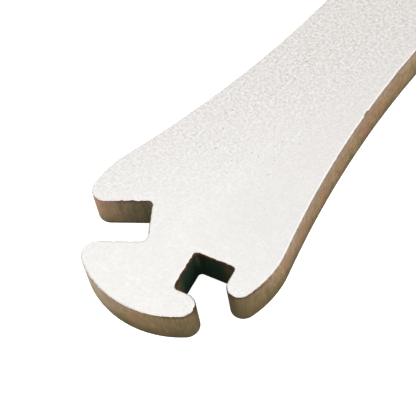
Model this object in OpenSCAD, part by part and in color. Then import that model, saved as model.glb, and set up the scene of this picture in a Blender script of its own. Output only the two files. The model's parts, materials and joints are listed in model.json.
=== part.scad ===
/* [Plate] */
// Length of the whole wrench
overall_l = 90; // [78:1:140]
// Thickness of the steel plate
plate_t = 3; // [2:0.1:5]
// Diameter of the round head at each end
head_d = 16; // [15:0.1:20]
// Width of the handle where it is narrowest
waist_w = 9.1; // [6:0.1:12]
// Radius of the long hollow curve that runs from a head down to the waist
neck_r = 81; // [50:1:110]

/* [Slot jaws] */
// Angle from the handle line to the middle line of a slot
slot_tilt = 55.5; // [50:0.5:65]
// Distance from the middle of a head to the floor of its slot
slot_floor = 2.6; // [2:0.1:4]
// Radius of the rounded tips on both sides of a slot's mouth
mouth_r = 1.15; // [0.6:0.05:1.4]
// Radius of the slot's floor corner beside the handle
slot_inner_r = 0.3; // [0.1:0.05:1]
// Radius of the slot's floor corner beside the hook
slot_hook_r = 0.5; // [0.1:0.05:1]

/* [Square jaws] */
// Angle from the handle line to the open corner of a square
square_tilt = 56.5; // [50:0.5:65]
// Distance from the middle of a head to the middle of its square
square_reach = 5.1; // [4.6:0.05:5.3]
// Radius inside the three closed corners of a square
square_corner_r = 0.3; // [0.1:0.05:0.5]
// Gap between the two lips, through which a spoke enters a square
throat_w = 2.3; // [2:0.05:2.8]

/* [Nipple sizes] */
// Slot width of the first head
first_slot_w = 3.45; // [3.2:0.01:4.4]
// Square width of the first head
first_square_w = 3.23; // [3.2:0.01:3.6]
// Slot width of the second head
second_slot_w = 3.96; // [3.2:0.01:4.4]
// Square width of the second head
second_square_w = 3.3; // [3.2:0.01:3.6]

/* [Hidden] */
head_r = head_d / 2;
waist_half = waist_w / 2;
// The most that the flats of a drawn arc stand off the true arc
arc_sag = 0.005;
// From the middle of the plate to the middle of a head
head_x = overall_l / 2 - head_r;
// From the middle of a head to the place where its neck curve ends in the straight handle
neck_x = sqrt(pow(neck_r + head_r, 2) - pow(neck_r + waist_half, 2));
// Directions of the two jaws, seen from the middle of the first head
slot_way = 180 - slot_tilt;
square_way = 180 + square_tilt;

// The outline is a list of stations, anticlockwise. A station is a point, the middle of the
// arc that leaves it, and how that arc bends: BULGE outwards, HOLLOW inwards, or STRAIGHT.
BULGE = 1;
HOLLOW = -1;
STRAIGHT = 0;
HEAD_MIDDLE = [0, 0];

// A point, a station and a list of stations, turned about the middle
function turned(p, way) = [p.x * cos(way) - p.y * sin(way), p.x * sin(way) + p.y * cos(way)];
function turned_list(list, way) = [for (s = list) [turned(s[0], way), turned(s[1], way), s[2]]];

// A rounded inner corner. The unit directions a and b run from the corner along its two sides.
function inner_corner(corner, a, b, r) = [
    [corner + r * a, corner + r * (a + b), HOLLOW],
    [corner + r * b, HEAD_MIDDLE, STRAIGHT]
];

// The point where a tip of radius r, with its middle at c, runs into the rim of the head
function rim_point(c, r) = c * head_r / (head_r - r);

// Slot, drawn outwards along x: a tip, a side, two floor corners, the other side and its tip
function slot_stations(w) = let (
    side = w / 2,
    tip_y = side + mouth_r,
    tip_x = sqrt(pow(head_r - mouth_r, 2) - pow(tip_y, 2)),
    out = [1, 0],
    up = [0, 1]
) [
    [rim_point([tip_x, -tip_y], mouth_r), [tip_x, -tip_y], BULGE],
    [[tip_x, -side], HEAD_MIDDLE, STRAIGHT],
    each inner_corner([slot_floor, -side], out, up, slot_inner_r),
    each inner_corner([slot_floor, side], -up, out, slot_hook_r),
    [[tip_x, side], [tip_x, tip_y], BULGE],
    [rim_point([tip_x, tip_y], mouth_r), HEAD_MIDDLE, BULGE]
];

// Radius of the lips beside the throat. A lip touches the square's side, the throat and the
// rim of the head, and d is the distance from the middle of the head to the open corner.
function lip_radius(d) = let (
    h = throat_w / 2,
    k = sqrt(2) - 1,
    b = k * (d - h) + h + head_r,
    c = pow(head_r, 2) - pow(d - h, 2) - pow(h, 2)
) (sqrt(b * b + k * k * c) - b) / (k * k);

// Square, drawn with its open corner outwards along x: a lip, three closed corners and a lip
function square_stations(w) = let (
    half = w / sqrt(2),
    d = square_reach + half,
    r = lip_radius(d),
    lip_y = throat_w / 2 + r,
    lip_x = d + sqrt(2) * r - lip_y,
    up_out = [1, 1] / sqrt(2),
    up_in = [-1, 1] / sqrt(2)
) [
    [rim_point([lip_x, -lip_y], r), [lip_x, -lip_y], BULGE],
    [[lip_x, -lip_y] + r * up_in, HEAD_MIDDLE, STRAIGHT],
    each inner_corner([square_reach, -half], up_out, up_in, square_corner_r),
    each inner_corner([square_reach - half, 0], -up_in, up_out, square_corner_r),
    each inner_corner([square_reach, half], -up_out, -up_in, square_corner_r),
    [[lip_x, lip_y] - r * up_out, [lip_x, lip_y], BULGE],
    [rim_point([lip_x, lip_y], r), HEAD_MIDDLE, BULGE]
];

// One end of the plate about the middle of its head: neck, rim, slot, hook, square, rim, neck
function head_stations(slot_w, square_w) = let (
    upper = [neck_x, neck_r + waist_half],
    lower = [neck_x, -neck_r - waist_half]
) [
    [[neck_x, waist_half], upper, HOLLOW],
    [upper * head_r / norm(upper), HEAD_MIDDLE, BULGE],
    each turned_list(slot_stations(slot_w), slot_way),
    each turned_list(square_stations(square_w), square_way),
    [lower * head_r / norm(lower), lower, HOLLOW],
    [[neck_x, -waist_half], HEAD_MIDDLE, STRAIGHT]
];

// An end moved out to its place. The second end is made the same way, then turned half round.
function placed(list) = [for (s = list) [s[0] - [head_x, 0], s[1] - [head_x, 0], s[2]]];
function plate_stations() = concat(
    placed(head_stations(first_slot_w, first_square_w)),
    turned_list(placed(head_stations(second_slot_w, second_square_w)), 180)
);

// The points of an arc from one point up to, but without, the next, in even steps
function arc_points(from, to, middle, bend) = let (
    r = norm(from - middle),
    start = atan2(from.y - middle.y, from.x - middle.x),
    end = atan2(to.y - middle.y, to.x - middle.x),
    sweep = bend * ((bend * (end - start) + 360) % 360),
    steps = ceil(abs(sweep) / (2 * acos(1 - arc_sag / r)))
) [for (i = [0 : steps - 1]) middle + turned([r, 0], start + sweep * i / steps)];

function outline(list) = [
    for (i = [0 : len(list) - 1])
        let (s = list[i], next = list[(i + 1) % len(list)][0])
            each s[2] == STRAIGHT ? [s[0]] : arc_points(s[0], next, s[1], s[2])
];

// The whole wrench is one flat plate, cut to its outline and open at its four jaws
module wrench_plate() {
    color([0.91, 0.9, 0.88])
        linear_extrude(height = plate_t)
            polygon(outline(plate_stations()));
}

wrench_plate();
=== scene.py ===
# A flat double-ended spoke wrench: one steel plate, tumbled and nickel plated, with brown cut edges.
# It lies on a white table under soft studio light. Sizes are in metres, in the model's own frame.
import json
from math import ceil, cos, pi, radians, sin
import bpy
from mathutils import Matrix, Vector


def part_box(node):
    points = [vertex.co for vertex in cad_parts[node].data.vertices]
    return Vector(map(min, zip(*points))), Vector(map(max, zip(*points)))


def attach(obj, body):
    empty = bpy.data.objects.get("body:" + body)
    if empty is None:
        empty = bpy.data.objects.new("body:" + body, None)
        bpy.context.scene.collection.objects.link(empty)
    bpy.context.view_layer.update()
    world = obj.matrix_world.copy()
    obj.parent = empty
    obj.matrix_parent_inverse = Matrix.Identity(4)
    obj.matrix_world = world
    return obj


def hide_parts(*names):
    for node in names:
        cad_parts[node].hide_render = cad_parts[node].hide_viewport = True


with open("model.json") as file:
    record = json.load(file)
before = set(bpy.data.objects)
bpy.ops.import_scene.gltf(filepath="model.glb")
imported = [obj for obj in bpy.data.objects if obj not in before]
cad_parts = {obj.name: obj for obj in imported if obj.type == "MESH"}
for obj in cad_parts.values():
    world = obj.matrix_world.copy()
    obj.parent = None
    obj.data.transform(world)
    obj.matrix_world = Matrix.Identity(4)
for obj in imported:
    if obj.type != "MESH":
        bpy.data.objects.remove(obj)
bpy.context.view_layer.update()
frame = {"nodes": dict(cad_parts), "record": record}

from types import SimpleNamespace

import bmesh
import bpy
import numpy as np
from mathutils import Quaternion, Vector

# Camera. It stands close in front of the first head and looks down on it at about 55 degrees,
# through a long lens and rolled a little clockwise, so that the handle leaves at the top right.
MM = 0.001
scene = bpy.context.scene
camera_place = Vector((-69.26, -40.32, 77.77)) * MM
camera_aim = Vector((-35.11, -0.67, 3.0)) * MM
camera_roll = radians(-11.57)
camera_data = bpy.data.cameras.new("camera")
camera_data.sensor_width = 36
camera_data.lens = 108.04
camera_data.clip_start = 1 * MM
camera_data.clip_end = 20
camera_data.dof.use_dof = False
camera = bpy.data.objects.new("camera", camera_data)
camera.location = camera_place
camera.rotation_mode = "QUATERNION"
straight_look = (camera_aim - camera_place).to_track_quat("-Z", "Y")
camera.rotation_quaternion = straight_look @ Quaternion((0, 0, 1), camera_roll)
scene.collection.objects.link(camera)
scene.camera = camera

# Wrench plate. One piece of 3 mm steel plate, cut to its outline, tumbled until its edges are
# round and then nickel plated. Its faces are matt and grainy, and its cut walls stay brown.
PLATE = "wrench_plate"
plate_low, plate_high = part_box(PLATE)
plate_t = plate_high.z - plate_low.z


def plate_corners(solid):
    """The corners of the solid's top face, anticlockwise from the one at the first head's tip."""
    weld = 0.0001 * MM
    nearly_up = 0.9
    mesh = bmesh.new()
    mesh.from_mesh(solid.data)
    bmesh.ops.remove_doubles(mesh, verts=mesh.verts, dist=weld)
    top = {face for face in mesh.faces if face.normal.z > nearly_up}
    after = {}
    for face in top:
        for loop in face.loops:
            if sum(other in top for other in loop.edge.link_faces) == 1:
                after[loop.vert] = loop.link_loop_next.vert
    corner = min(after, key=lambda vertex: vertex.co[:2])
    walk = []
    while len(walk) < len(after):
        walk.append((corner.co.x, corner.co.y))
        corner = after[corner]
    mesh.free()
    return np.array(walk)


def rounded(corners, step, turn_step):
    """Points along the true arcs whose chords join the corners.

    The turn at a corner is half the bend of the chord before it and half of the one after it.
    """
    count = len(corners)
    chord = np.roll(corners, -1, axis=0) - corners
    length = np.hypot(chord[:, 0], chord[:, 1])
    heading = np.arctan2(chord[:, 1], chord[:, 0])
    turn = (heading - np.roll(heading, 1) + pi) % (2 * pi) - pi
    halves = (np.eye(count) + np.roll(np.eye(count), -1, axis=1)) / 2
    bend = np.linalg.lstsq(halves, turn, rcond=None)[0]
    straight = 0.00001
    bend[abs(bend) < straight] = straight
    points = []
    for i in range(count):
        pieces = max(ceil(length[i] / step), ceil(abs(bend[i]) / turn_step))
        swept = np.arange(pieces) / pieces * bend[i]
        radius = length[i] / (2 * np.sin(bend[i] / 2))
        start = heading[i] - bend[i] / 2
        middle = corners[i] + radius * np.array((-np.sin(start), np.cos(start)))
        points += [middle + radius * np.array((np.sin(start + a), -np.cos(start + a))) for a in swept]
    return points


outline_points = rounded(plate_corners(frame["nodes"][PLATE]), step=0.14 * MM, turn_step=radians(6))
outline_mesh = bpy.data.meshes.new("plate_outline")
outline_mesh.from_pydata(
    [(x, y, 0) for x, y in outline_points],
    [(i, (i + 1) % len(outline_points)) for i in range(len(outline_points))],
    [],
)
outline = bpy.data.objects.new("plate_outline", outline_mesh)
scene.collection.objects.link(outline)


# The plate's finish and its edges are made by nodes, which these short functions add to a tree
def put(tree, kind, feeds, **settings):
    """Adds a node. feeds gives each input, by name or number, a value or another node's output."""
    made = tree.nodes.new(kind)
    for name, value in settings.items():
        setattr(made, name, value)
    for key, feed in feeds.items():
        if isinstance(feed, bpy.types.NodeSocket):
            tree.links.new(feed, made.inputs[key])
        else:
            made.inputs[key].default_value = feed
    return made


def calc(tree, operation, *values):
    """The result of a sum on single numbers."""
    return put(tree, "ShaderNodeMath", dict(enumerate(values)), operation=operation).outputs[0]


def ramp(tree, value, start, end, low=0.0, high=1.0):
    """low where value is start, high where it is end, and a smooth step between."""
    feeds = {"Value": value, 1: start, 2: end, 3: low, 4: high}
    return put(tree, "ShaderNodeMapRange", feeds, interpolation_type="SMOOTHSTEP").outputs[0]


def grown(tree, where, size, stretch=1.0, detail=2.0, crispness=0.5, offset=0.0):
    """A soft noise from 0 to 1 with lumps about as large as size, drawn out along z by stretch."""
    scaled = put(tree, "ShaderNodeVectorMath", {0: where, 1: (1, 1, 1 / stretch)}, operation="MULTIPLY")
    moved = put(tree, "ShaderNodeVectorMath", {0: scaled.outputs[0], 1: (offset, 0, 0)}, operation="ADD")
    feeds = {"Vector": moved.outputs[0], "Scale": 1 / size, "Detail": detail, "Roughness": crispness}
    return put(tree, "ShaderNodeTexNoise", feeds).outputs[0]


def product(tree, first, *others):
    """All the values multiplied together."""
    for other in others:
        first = calc(tree, "MULTIPLY", first, other)
    return first


def blend_number(tree, share, under, over):
    """The number under where share is 0, over where it is 1, and between them in between."""
    return calc(tree, "MULTIPLY_ADD", share, over - under, under)


def blend(tree, share, under, over):
    """The same for colours. A plain colour is a red, a green and a blue."""
    feeds = {"Factor": share}
    for number, colour in ((6, under), (7, over)):
        feeds[number] = (*colour, 1) if isinstance(colour, tuple) else colour
    return put(tree, "ShaderNodeMix", feeds, data_type="RGBA").outputs[2]


def shaded_by(tree, value, shades):
    """A colour that follows value, through pairs of a value and a colour, in rising order."""
    made = put(tree, "ShaderNodeValToRGB", {0: value})
    stops = made.color_ramp.elements
    while len(stops) < len(shades):
        stops.new(0.5)
    for stop, (position, colour) in zip(stops, shades):
        stop.position = position
        stop.color = (*colour, 1)
    return made.outputs[0]


SQUARE_MM = MM * MM


def whereabouts(tree):
    """What the finish depends on at each point of the plate."""
    place = tree.nodes.new("ShaderNodeTexCoord").outputs["Object"]
    x, y, z = put(tree, "ShaderNodeSeparateXYZ", {0: place}).outputs
    facing = tree.nodes.new("ShaderNodeNewGeometry").outputs["Normal"]
    facing_z = put(tree, "ShaderNodeSeparateXYZ", {0: facing}).outputs["Z"]

    def kept(name):
        return put(tree, "ShaderNodeAttribute", {}, attribute_name=name).outputs["Fac"]

    # x times y is positive on the square's side of either head and negative on the slot's side
    corner_wise = calc(tree, "MULTIPLY", x, y)
    return SimpleNamespace(
        place=place,
        up_wall=calc(tree, "DIVIDE", z, plate_t),
        along=calc(tree, "ABSOLUTE", x),
        corner_wise=corner_wise,
        square_side=ramp(tree, corner_wise, start=-100 * SQUARE_MM, end=50 * SQUARE_MM),
        upright=calc(tree, "ABSOLUTE", facing_z),
        shaded=kept("jaw_shade"),
        shaded_black=kept("jaw_black_shade"),
        corner_streaked=kept("jaw_corner_streak"),
        patches=grown(tree, place, 1.4 * MM, detail=3, crispness=0.6),
        ragged=grown(tree, place, 0.22 * MM, detail=3, offset=0.1),
    )


def nickel_face(tree, at):
    """White nickel with grey specks, painted white glints and faint pits.

    Wear has smoothed it most at the heads, and it is greyer along one side of each neck.
    """
    white = (0.985, 0.979, 0.971)
    speck_grey = (0.69, 0.67, 0.65)
    patch_grey = (0.88, 0.865, 0.85)
    dull_grey = (0.81, 0.798, 0.785)
    glint_white = (0.985, 0.98, 0.975)
    pit_grey = (0.5, 0.48, 0.45)

    slant = (1, 1.5, 0)
    slanting = put(tree, "ShaderNodeVectorMath", {0: at.place, 1: slant}, operation="DOT_PRODUCT")
    off_middle = calc(tree, "ABSOLUTE", slanting.outputs["Value"])
    rough = ramp(tree, off_middle, start=40 * MM, end=13 * MM, low=0.2)
    specks = grown(tree, at.place, 0.23 * MM, detail=3, crispness=0.62, offset=0.3)
    nickel = blend(tree, product(tree, ramp(tree, specks, 0.65, 0.35), rough), white, speck_grey)
    nickel = blend(tree, ramp(tree, at.patches, 0.35, 0.65, high=0.3), nickel, patch_grey)
    one_side = ramp(tree, at.corner_wise, start=10 * SQUARE_MM, end=110 * SQUARE_MM, high=0.3)
    greyer_side = product(tree, one_side, ramp(tree, at.along, start=40 * MM, end=33 * MM))
    nickel = blend(tree, greyer_side, nickel, dull_grey)
    mottles = grown(tree, at.place, 0.45 * MM, detail=2, offset=0.8)
    nickel = blend(tree, ramp(tree, mottles, 0.35, 0.65, high=0.23), nickel, dull_grey)
    # Painted glints: white specks painted into the colour, weaker at the heads
    glints = grown(tree, at.place, 0.14 * MM, detail=1, offset=0.4)
    glinting = product(tree, ramp(tree, glints, 0.6, 0.7, high=0.85), rough)
    nickel = blend(tree, glinting, nickel, glint_white)
    pits = grown(tree, at.place, 0.24 * MM, detail=1, offset=0.5)
    return blend(tree, ramp(tree, pits, 0.24, 0.19, high=0.1), nickel, pit_grey)


def cut_wall(tree, at):
    """Brown oxide in blotches, flecks, streaks and rust, olive at the foot, with painted light and
    shade:
    lighter towards the top, darker towards the foot, and a painted contact shadow along the bottom edge.

    It is greyer at the top of the necks' walls and at the hook's end, browner on the hook and paler
    on the slot's side of a head.
    """
    blotch_shades = (
        (0.1, (0.15, 0.113, 0.056)), (0.35, (0.23, 0.162, 0.08)),
        (0.6, (0.33, 0.215, 0.116)), (0.9, (0.38, 0.28, 0.208)),
    )
    dark_fleck = (0.13, 0.112, 0.06)
    pale_fleck = (0.38, 0.28, 0.19)
    streak = (0.065, 0.062, 0.032)
    rust_red = (0.29, 0.15, 0.09)
    neck_grey = (0.28, 0.245, 0.21)
    patch_olive = (0.15, 0.13, 0.058)
    hook_brown = (0.17, 0.118, 0.04)
    slot_side_tan = (0.42, 0.31, 0.21)
    hook_end_grey = (0.23, 0.245, 0.17)
    foot_shade_olive = (0.08, 0.064, 0.018)
    painted_contact_shadow = (0.05, 0.045, 0.018)

    blotches = grown(tree, at.place, 0.4 * MM, stretch=1.6, detail=4, crispness=0.66)
    contrast = 1.5
    darkening = -0.27
    spread_out = calc(tree, "MULTIPLY_ADD", blotches, contrast, darkening)
    # Painted light and shade: the blotches lighter towards the top of the wall and darker towards the
    # foot, most at the heads
    from_middle = calc(tree, "SUBTRACT", at.up_wall, 0.5)
    at_head = ramp(tree, at.along, start=29 * MM, end=35 * MM, low=0.3, high=0.8)
    tone = calc(tree, "ADD", spread_out, product(tree, from_middle, at_head))
    wall = shaded_by(tree, tone, blotch_shades)

    flecks = grown(tree, at.place, 0.16 * MM, stretch=2, detail=3, crispness=0.6, offset=0.6)
    wall = blend(tree, ramp(tree, flecks, 0.5, 0.66, high=0.5), wall, dark_fleck)
    wall = blend(tree, ramp(tree, flecks, 0.46, 0.32, high=0.35), wall, pale_fleck)
    streaks = grown(tree, at.place, 0.3 * MM, stretch=9, detail=3)
    near_jaws = ramp(tree, at.shaded, 0.05, 0.5, low=0.15, high=0.65)
    wall = blend(tree, product(tree, ramp(tree, streaks, 0.45, 0.68), near_jaws), wall, streak)
    rust = grown(tree, at.place, 1.3 * MM, stretch=1.5, detail=3, offset=0.7)
    off_jaws = ramp(tree, at.shaded, 0.0, 0.4, low=1, high=0.4)
    wall = blend(tree, product(tree, ramp(tree, rust, 0.48, 0.62, high=0.65), off_jaws), wall, rust_red)

    at_neck = ramp(tree, at.along, start=36 * MM, end=30 * MM, high=0.4)
    up_neck = product(tree, ramp(tree, at.up_wall, 0.55, 0.95), at_neck)
    wall = blend(tree, up_neck, wall, neck_grey)
    wall = blend(tree, ramp(tree, at.patches, 0.48, 0.64, high=0.2), wall, patch_olive)
    on_hook = product(tree, at.square_side, ramp(tree, at.along, start=35 * MM, end=40 * MM, high=0.4))
    wall = blend(tree, on_hook, wall, hook_brown)
    slot_side = calc(tree, "SUBTRACT", 1.0, at.square_side)
    wall = blend(tree, ramp(tree, at.square_side, 1.0, 0.0, high=0.25), wall, slot_side_tan)
    hook_end = product(tree, slot_side, ramp(tree, at.along, start=42.5 * MM, end=44.3 * MM, high=0.4))
    wall = blend(tree, hook_end, wall, hook_end_grey)

    # Painted shade where the wall meets the table: darker and more olive towards the foot, most at the
    # heads, less on the slot's side and in the jaws
    foot = product(
        tree,
        ramp(tree, at.up_wall, 0.5, 0.0),
        ramp(tree, at.patches, 0.4, 0.6, low=0.75),
        ramp(tree, at.shaded, 0.0, 0.3, low=1, high=0.5),
        blend_number(tree, at.square_side, 0.25, 1),
        ramp(tree, at.along, start=33 * MM, end=39 * MM, low=0.6),
    )
    wall = blend(tree, foot, wall, foot_shade_olive)
    # Painted contact shadow: a near-black line along the bottom edge of the wall
    return blend(tree, ramp(tree, at.up_wall, 0.1, 0.03, high=0.8), wall, painted_contact_shadow)


def jaw_wall(tree, at, wall):
    """Painted shade: the wall darker round the jaws and near black inside a square, with a reddish rim.
    """
    slot_shade_olive = (0.115, 0.116, 0.068)
    square_shade_brown = (0.1, 0.082, 0.04)
    inside_shade_brown = (0.09, 0.064, 0.03)
    inside_black_shade = (0.017, 0.034, 0.023)
    corner_streak_brown = (0.16, 0.1, 0.055)
    lip_black = (0.028, 0.017, 0.008)
    band_red = (0.13, 0.065, 0.035)
    rim_brown = (0.09, 0.045, 0.022)

    # Painted shade: the wall darker towards the deep end of each jaw, olive in a slot and brown in a
    # square
    wall = blend(tree, at.shaded, wall, blend(tree, at.square_side, slot_shade_olive, square_shade_brown))
    # Painted shade, deeper and brown, inside a square
    in_square = ramp(tree, at.shaded, 0.68, 0.77, high=0.8)
    wall = blend(tree, in_square, wall, inside_shade_brown)
    # Painted shade: inside a square the wall is painted greenish near black, where little light reaches
    wall = blend(tree, at.shaded_black, wall, inside_black_shade)
    # A lighter reddish-brown streak down the upper part of each square's deep corner
    wall = blend(tree, product(tree, at.corner_streaked, ramp(tree, at.up_wall, 0.2, 0.55)), wall, corner_streak_brown)
    # Near the top of a square's walls the painted shade is dark brown rather than black
    lip = product(
        tree, ramp(tree, at.up_wall, 0.76, 0.9), ramp(tree, at.ragged, 0.3, 0.6, low=0.6), in_square,
    )
    wall = blend(tree, lip, wall, lip_black)
    red_band = product(
        tree,
        ramp(tree, at.up_wall, 0.84, 0.94, high=0.6),
        ramp(tree, at.ragged, 0.4, 0.6),
        ramp(tree, at.shaded, 0.15, 0.4),
    )
    wall = blend(tree, red_band, wall, band_red)
    rim = product(
        tree,
        ramp(tree, at.upright, 0.06, 0.3),
        ramp(tree, at.ragged, 0.3, 0.6, low=0.5),
        ramp(tree, at.shaded, 0.3, 0.5, low=0.4),
    )
    return blend(tree, rim, wall, rim_brown)


def nickel_and_cut_steel():
    """Grainy matt nickel on the faces and the round edges, and brown oxide on the cut walls."""
    material = bpy.data.materials.new("nickel_and_cut_steel")
    material.use_nodes = True
    tree = material.node_tree
    shader = tree.nodes["Principled BSDF"]
    shader.inputs["Specular IOR Level"].default_value = 0.0
    at = whereabouts(tree)
    nickel = nickel_face(tree, at)
    wall = jaw_wall(tree, at, cut_wall(tree, at))

    # The brown reaches up over the edge in a ragged line, further at the jaws than elsewhere
    held_down = ramp(tree, at.along, start=30 * MM, end=38 * MM, high=0.1)
    lifted = ramp(tree, at.shaded, 0.15, 0.4, high=0.17)
    uneven = ramp(tree, at.ragged, 0.1, 0.9, low=-0.2, high=0.2)
    shifted = calc(tree, "SUBTRACT", calc(tree, "ADD", uneven, held_down), lifted)
    is_cut = ramp(tree, calc(tree, "ADD", at.upright, shifted), 0.74, 0.62)
    tree.links.new(blend(tree, is_cut, nickel, wall), shader.inputs["Base Color"])
    tree.links.new(ramp(tree, is_cut, 0, 1, low=0.22, high=0.5), shader.inputs["Roughness"])
    metal_in_wall = product(tree, ramp(tree, at.shaded_black, 0, 0.5, low=0.4, high=0), is_cut)
    metal = calc(tree, "ADD", calc(tree, "SUBTRACT", 1.0, is_cut), metal_in_wall)
    tree.links.new(metal, shader.inputs["Metallic"])
    grain = grown(tree, at.place, 0.2 * MM, detail=3, crispness=0.58)
    bump = put(tree, "ShaderNodeBump", {"Height": grain, "Distance": 0.015 * MM, "Strength": 1.0})
    tree.links.new(bump.outputs[0], shader.inputs["Normal"])
    return material


def plate_tree(finish, shades, black_shades, corner_streaks):
    """Sweeps the edge profile round the outline, wears it and closes the two faces."""
    tree = bpy.data.node_groups.new("plate_from_outline", "GeometryNodeTree")
    sockets = tree.interface
    sockets.new_socket("Geometry", in_out="INPUT", socket_type="NodeSocketGeometry")
    for name, kind in (
        ("Thickness", "Float"), ("Edge Radius", "Float"), ("Foot Radius", "Float"),
        ("Edge Steps", "Int"), ("Wall Rows", "Int"), ("Face Rows", "Int"),
        ("Crown Width", "Float"), ("Crown Drop", "Float"),
        ("Wave Length", "Float"), ("Wave Depth", "Float"),
        ("Score Width", "Float"), ("Score Depth", "Float"),
        ("Nicks", "Int"), ("Nick Size", "Float"), ("Nick Depth", "Float"), ("Seed", "Int"),
        ("Chip Place", "Vector"), ("Chip Size", "Float"), ("Chip Depth", "Float"),
    ):
        sockets.new_socket(name, in_out="INPUT", socket_type="NodeSocket" + kind)
    sockets.new_socket("Geometry", in_out="OUTPUT", socket_type="NodeSocketGeometry")
    given = tree.nodes.new("NodeGroupInput").outputs
    thickness = given["Thickness"]
    slack = 0.1

    def vector(x, y, z):
        return put(tree, "ShaderNodeCombineXYZ", {0: x, 1: y, 2: z}).outputs[0]

    # The profile: a square bracket whose two corners are rounded, with an arm along each face.
    # The sweep turns its +X out of the plate and its +Y down.
    arm = calc(tree, "MULTIPLY", given["Crown Width"], -1.0)
    up = calc(tree, "MULTIPLY", thickness, -1.0)
    line = put(tree, "GeometryNodeMeshLine", {"Count": 4})
    order = tree.nodes.new("GeometryNodeInputIndex").outputs[0]
    bracket = tree.nodes.new("GeometryNodeIndexSwitch")
    bracket.data_type = "VECTOR"
    bracket.index_switch_items.new()
    bracket.index_switch_items.new()
    tree.links.new(order, bracket.inputs[0])
    for number, point in enumerate((
        vector(arm, up, 0), vector(0.0, up, 0), vector(0.0, 0.0, 0), vector(arm, 0.0, 0),
    )):
        tree.links.new(point, bracket.inputs[number + 1])
    placed = put(tree, "GeometryNodeSetPosition", {0: line.outputs[0], "Position": bracket.outputs[0]})
    profile = put(tree, "GeometryNodeMeshToCurve", {0: placed.outputs[0]})
    halfway_round = 1.5
    is_foot = calc(tree, "GREATER_THAN", order, halfway_round)
    radius = put(tree, "ShaderNodeMix", {0: is_foot, 2: given["Edge Radius"], 3: given["Foot Radius"]})
    profile = put(
        tree, "GeometryNodeFilletCurve",
        {0: profile.outputs[0], "Count": given["Edge Steps"], "Radius": radius.outputs[0]}, mode="POLY",
    )
    arc = calc(tree, "ADD", given["Edge Steps"], 2)
    is_wall = calc(tree, "COMPARE", order, arc, slack)
    starts_straight = calc(tree, "COMPARE", calc(tree, "MODULO", order, arc), 0.0, slack)
    is_arm = calc(tree, "SUBTRACT", starts_straight, is_wall)
    face_cuts = calc(tree, "MULTIPLY", is_arm, given["Face Rows"])
    cuts = calc(tree, "MULTIPLY_ADD", is_wall, given["Wall Rows"], face_cuts)
    profile = put(tree, "GeometryNodeSubdivideCurve", {0: profile.outputs[0], "Cuts": cuts})

    # Tumbling has crowned both faces: they fall a little towards the edge
    here = tree.nodes.new("GeometryNodeInputPosition").outputs[0]
    spot = put(tree, "ShaderNodeSeparateXYZ", {0: here})
    outward = calc(tree, "SUBTRACT", 1.0, calc(tree, "DIVIDE", spot.outputs["X"], arm))
    middle = calc(tree, "MULTIPLY", up, 0.5)
    off_middle = calc(tree, "DIVIDE", calc(tree, "SUBTRACT", spot.outputs["Y"], middle), middle)
    fall = calc(tree, "MULTIPLY", calc(tree, "POWER", outward, 2.0), given["Crown Drop"])
    crown = vector(0.0, calc(tree, "MULTIPLY", fall, off_middle), 0)
    profile = put(tree, "GeometryNodeSetPosition", {0: profile.outputs[0], "Offset": crown})

    # The sweep, which remembers the direction into the plate
    path = put(tree, "GeometryNodeMeshToCurve", {0: given["Geometry"]})
    path = put(tree, "GeometryNodeSetCurveNormal", {0: path.outputs[0]}, mode="Z_UP")
    tangent = tree.nodes.new("GeometryNodeInputTangent").outputs[0]
    inward = put(tree, "ShaderNodeVectorMath", {0: (0, 0, 1), 1: tangent}, operation="CROSS_PRODUCT")
    kept = tree.nodes.new("GeometryNodeCaptureAttribute")
    kept.capture_items.new("VECTOR", "Inward")
    tree.links.new(path.outputs[0], kept.inputs[0])
    tree.links.new(inward.outputs[0], kept.inputs[1])
    sweep = put(tree, "GeometryNodeCurveToMesh", {0: kept.outputs[0], 1: profile.outputs[0]})

    # Wear, always into the plate: a wavy edge, upright score marks, small nicks along it and a chip
    where = tree.nodes.new("GeometryNodeInputPosition").outputs[0]
    height = put(tree, "ShaderNodeSeparateXYZ", {0: where}).outputs["Z"]
    share = calc(tree, "DIVIDE", height, thickness)

    def spread(centres):
        """How strongly a place lies within reach of one of these centres."""
        strongest = 0.0
        for centre, far, near, most in centres:
            level_with = vector(centre[0], centre[1], height)
            gap = put(tree, "ShaderNodeVectorMath", {0: where, 1: level_with}, operation="DISTANCE")
            strength = ramp(tree, gap.outputs["Value"], far, near, high=most)
            strongest = calc(tree, "MAXIMUM", strongest, strength)
        return strongest

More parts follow.
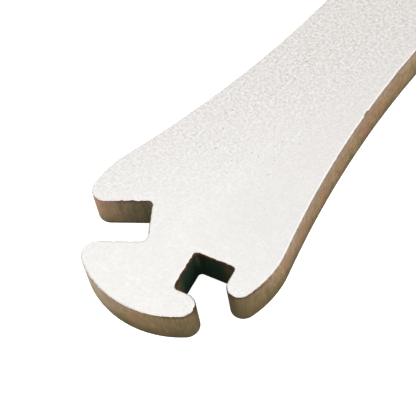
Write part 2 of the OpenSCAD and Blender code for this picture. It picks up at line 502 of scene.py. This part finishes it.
    shaded = spread(shades)
    near_edge = product(tree, ramp(tree, share, 0.7, 0.98), ramp(tree, shaded, 0, 0.4, low=0.2))
    waves_per_metre = calc(tree, "DIVIDE", 1.0, given["Wave Length"])
    wave = put(
        tree, "ShaderNodeTexNoise", {"Vector": where, "Scale": waves_per_metre, "Detail": 1.0},
    ).outputs[0]
    dips = ramp(tree, wave, 0.45, 0.75)
    wave = product(tree, dips, near_edge, given["Wave Depth"])
    drawn_upright = (1, 1, 0.07)
    squashed = put(tree, "ShaderNodeVectorMath", {0: where, 1: drawn_upright}, operation="MULTIPLY")
    scores_per_metre = calc(tree, "DIVIDE", 1.0, given["Score Width"])
    score = put(
        tree, "ShaderNodeTexNoise",
        {"Vector": squashed.outputs[0], "Scale": scores_per_metre, "Detail": 2.0},
    ).outputs[0]
    score = calc(tree, "MULTIPLY", score, given["Score Depth"])
    spots = put(
        tree, "GeometryNodeCurveToPoints", {0: path.outputs[0], "Count": given["Nicks"]}, mode="COUNT",
    )
    astray = 2 * MM
    stray = put(
        tree, "FunctionNodeRandomValue",
        {0: (-astray, -astray, 0.0), 1: (astray, astray, 0.0), "Seed": given["Seed"]},
        data_type="FLOAT_VECTOR",
    ).outputs[0]
    on_top = vector(0.0, 0.0, thickness)
    lift = put(tree, "ShaderNodeVectorMath", {0: stray, 1: on_top}, operation="ADD").outputs[0]
    spots = put(tree, "GeometryNodeSetPosition", {0: spots.outputs[0], "Offset": lift})
    nearest = put(tree, "GeometryNodeProximity", {0: spots.outputs[0]}, target_element="POINTS")
    nick = ramp(tree, calc(tree, "DIVIDE", nearest.outputs["Distance"], given["Nick Size"]), 1.0, 0.2)
    nick = calc(tree, "MULTIPLY", nick, given["Nick Depth"])
    chip_place = given["Chip Place"]
    off_chip = put(tree, "ShaderNodeVectorMath", {0: where, 1: chip_place}, operation="DISTANCE")
    chip = calc(tree, "DIVIDE", off_chip.outputs["Value"], given["Chip Size"])
    chip = calc(tree, "MULTIPLY", ramp(tree, chip, 1.0, 0.3), given["Chip Depth"])
    depth = calc(tree, "ADD", calc(tree, "ADD", wave, score), calc(tree, "ADD", nick, chip))
    push = put(
        tree, "ShaderNodeVectorMath", {0: kept.outputs[1], "Scale": depth}, operation="SCALE",
    ).outputs[0]
    worn = put(tree, "GeometryNodeSetPosition", {0: sweep.outputs[0], "Offset": push})

    # The two faces, each filled inside the sweep's open edge
    neighbours = tree.nodes.new("GeometryNodeInputMeshEdgeNeighbors").outputs[0]
    border = calc(tree, "COMPARE", neighbours, 1.0, slack)
    shell = [worn.outputs[0]]
    for is_top in (True, False):
        side = calc(tree, "GREATER_THAN" if is_top else "LESS_THAN", share, 0.5)
        chosen = calc(tree, "MULTIPLY", border, side)
        loop = put(tree, "GeometryNodeMeshToCurve", {0: worn.outputs[0], "Selection": chosen})
        face = put(tree, "GeometryNodeFillCurve", {0: loop.outputs[0]}, mode="NGONS")
        if is_top:
            face = put(tree, "GeometryNodeSetPosition", {0: face.outputs[0], "Offset": on_top})
        else:
            face = put(tree, "GeometryNodeFlipFaces", {0: face.outputs[0]})
        shell.append(face.outputs[0])
    joined = tree.nodes.new("GeometryNodeJoinGeometry")
    for part in shell:
        tree.links.new(part, joined.inputs[0])
    weld = 0.0001 * MM
    closed = put(tree, "GeometryNodeMergeByDistance", {0: joined.outputs[0], "Distance": weld})
    smooth = put(tree, "GeometryNodeSetShadeSmooth", {0: closed.outputs[0]})

    stored = smooth
    # Where the finish paints shade round the jaws and near black inside the squares, and where the
    # squares' corner streaks run
    for name, value in (
        ("jaw_shade", shaded), ("jaw_black_shade", spread(black_shades)), ("jaw_corner_streak", spread(corner_streaks)),
    ):
        stored = put(
            tree, "GeometryNodeStoreNamedAttribute",
            {0: stored.outputs[0], "Name": name, "Value": value},
        )
    real = put(tree, "GeometryNodeRealizeInstances", {0: stored.outputs[0]})
    finished = put(tree, "GeometryNodeSetMaterial", {0: real.outputs[0], "Material": finish})
    out = tree.nodes.new("NodeGroupOutput")
    tree.links.new(finished.outputs[0], out.inputs[0])
    return tree


# The walls are painted darker, as shade, towards the deep end of each jaw, and near black deep in a
# square. That end lies some share of the way from the middle of the head to the middle of the nipple
# that the jaw holds.
head_r = (plate_high.y - plate_low.y) / 2
head_middle = Vector((plate_high.x - head_r, 0))


def deep_ends(kind, deep_share, far, near, most):
    """For each jaw of a kind: its deep end, where the dark starts and is full, and how dark it is."""
    ends = []
    for mount in frame["record"]["mounts"]:
        if kind in mount["name"]:
            seat = Vector(mount["pos_m"][:2])
            head = head_middle if seat.x > 0 else -head_middle
            ends.append((head.lerp(seat, deep_share), far, near, most))
    return ends


slot_shades = deep_ends("slot", deep_share=0.6, far=4.4 * MM, near=1.9 * MM, most=0.62)
square_shades = deep_ends("square", deep_share=1.0, far=6.2 * MM, near=1.8 * MM, most=0.8)
# Where a square's wall is painted near black, as shade
square_black_shades = deep_ends("square", deep_share=0.72, far=2.5 * MM, near=1.3 * MM, most=1.0)
# A lighter streak down each square's deep corner
square_corner_streaks = deep_ends("square", deep_share=0.58, far=0.22 * MM, near=0.05 * MM, most=0.3)
tree = plate_tree(
    nickel_and_cut_steel(), slot_shades + square_shades, square_black_shades, square_corner_streaks,
)
modifier = outline.modifiers.new("plate", "NODES")
modifier.node_group = tree
plate_sizes = {
    "Thickness": plate_t,
    "Edge Radius": 0.16 * MM,
    "Foot Radius": 0.05 * MM,
    "Edge Steps": 5,
    "Wall Rows": 12,
    "Face Rows": 6,
    "Crown Width": 0.8 * MM,
    "Crown Drop": 0.012 * MM,
    "Wave Length": 0.5 * MM,
    "Wave Depth": 0.05 * MM,
    "Score Width": 0.3 * MM,
    "Score Depth": 0.01 * MM,
    "Nicks": 40,
    "Nick Size": 0.25 * MM,
    "Nick Depth": 0.06 * MM,
    "Seed": 7,
    "Chip Place": Vector((-21.4, -5.05, 3.0)) * MM,
    "Chip Size": 0.4 * MM,
    "Chip Depth": 0.1 * MM,
}
for item in tree.interface.items_tree:
    if item.in_out == "INPUT" and item.name in plate_sizes:
        modifier[item.identifier] = plate_sizes[item.name]
bpy.context.view_layer.update()
made = outline.evaluated_get(bpy.context.evaluated_depsgraph_get())
plate_mesh = bpy.data.meshes.new_from_object(made)
outline.modifiers.remove(modifier)
bpy.data.objects.remove(outline)
wrench = bpy.data.objects.new("nickel_wrench_plate", plate_mesh)
scene.collection.objects.link(wrench)
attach(wrench, "root")
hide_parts(PLATE)

# Floor. A white table top, lit through from below like a light table, so that the plate's own
# shade on it stays nearly white. It isn't part of the object.
table_side = 4.0
table_mesh = bpy.data.meshes.new("table_top")
half = table_side / 2
table_mesh.from_pydata(
    [(-half, -half, 0), (half, -half, 0), (half, half, 0), (-half, half, 0)], [], [(0, 1, 2, 3)],
)
table = bpy.data.objects.new("table_top", table_mesh)
scene.collection.objects.link(table)
white = bpy.data.materials.new("lit_white_table")
white.use_nodes = True
white_shader = white.node_tree.nodes["Principled BSDF"]
white_shader.inputs["Base Color"].default_value = (0.85, 0.85, 0.85, 1)
white_shader.inputs["Roughness"].default_value = 1.0
white_shader.inputs["Specular IOR Level"].default_value = 0.0
white_shader.inputs["Emission Color"].default_value = (1, 1, 1, 1)
plain_sight = white.node_tree.nodes.new("ShaderNodeLightPath").outputs["Is Camera Ray"]
glow_on_plate = 0.1
glow_to_camera = 0.85
glow = blend_number(white.node_tree, plain_sight, glow_on_plate, glow_to_camera)
white.node_tree.links.new(glow, white_shader.inputs["Emission Strength"])
table_mesh.materials.append(white)

# Light. A dim soft dome, a little darker on the camera's side, with a wide bright window high up at
# the back, which the top face mirrors, and two smaller ones, on the right and at the front left,
# which the rounded edges mirror. The camera itself sees plain white.
world = bpy.data.worlds.new("studio")
scene.world = world
world.use_nodes = True
sky = world.node_tree
sky.nodes.clear()
direction = sky.nodes.new("ShaderNodeTexCoord").outputs["Generated"]


def sky_way(azimuth, elevation):
    """The direction at these angles, in degrees, the azimuth counted from +X towards +Y."""
    level_way = cos(radians(elevation))
    return Vector((
        level_way * cos(radians(azimuth)), level_way * sin(radians(azimuth)), sin(radians(elevation)),
    ))


def agreement(way):
    """The cosine of the angle between a direction of the sky and this one."""
    both = {0: direction, 1: way}
    return put(sky, "ShaderNodeVectorMath", both, operation="DOT_PRODUCT").outputs["Value"]


# Brightness of the dome, by degrees away from the middle of the window
dome_levels = (
    (85, 0.64), (60, 0.66), (45, 0.71), (35, 0.81), (27, 0.905), (21, 0.95), (14, 0.98), (0, 1.06),
)
top_level = dome_levels[-1][1]
dome_shades = []
for away, level in dome_levels:
    share = level / top_level
    # The dimmer the dome is, the warmer
    green_share = 0.9 + 0.095 * share
    blue_share = 0.85 + 0.13 * share
    dome_shades.append((cos(radians(away)), (share, share * green_share, share * blue_share)))
window_way = sky_way(75, 62)
dome_colour = shaded_by(sky, agreement(window_way), dome_shades)
camera_side = sky_way(229, 10)
dimmed = top_level * 0.8
strength = ramp(sky, agreement(camera_side), 0.3, 0.9, low=top_level, high=dimmed)
window_outside = cos(radians(27))
window_inside = cos(radians(12))
right_window = sky_way(338, 52)
front_left_window = sky_way(192, 50)
for way, level in ((right_window, 0.75), (front_left_window, 0.8)):
    edge_window = ramp(sky, agreement(way), window_outside, window_inside, high=level)
    strength = calc(sky, "ADD", strength, edge_window)
dome = put(sky, "ShaderNodeBackground", {"Color": dome_colour, "Strength": strength})
backdrop = put(sky, "ShaderNodeBackground", {"Color": (1, 1, 1, 1), "Strength": 1.2})
seen = sky.nodes.new("ShaderNodeLightPath").outputs["Is Camera Ray"]
either = put(sky, "ShaderNodeMixShader", {0: seen, 1: dome.outputs[0], 2: backdrop.outputs[0]})
sky_out = sky.nodes.new("ShaderNodeOutputWorld")
sky.links.new(either.outputs[0], sky_out.inputs[0])

# Two softboxes light the cut walls from the right and the left. The nickel doesn't mirror them.
box_distance = 0.35
box_width = 0.25
box_elevation = 20
for name, azimuth, power in (("right_softbox", 288, 0.9), ("left_softbox", 100, 1.55)):
    softbox = bpy.data.lights.new(name, "AREA")
    softbox.shape = "DISK"
    softbox.size = box_width
    softbox.energy = power
    lamp = bpy.data.objects.new(name, softbox)
    box_way = sky_way(azimuth, box_elevation)
    lamp.location = camera_aim + box_way * box_distance
    lamp.rotation_mode = "QUATERNION"
    lamp.rotation_quaternion = box_way.to_track_quat("Z", "Y")
    lamp.visible_glossy = False
    scene.collection.objects.link(lamp)

scene.view_settings.view_transform = "Standard"
scene.view_settings.look = "None"
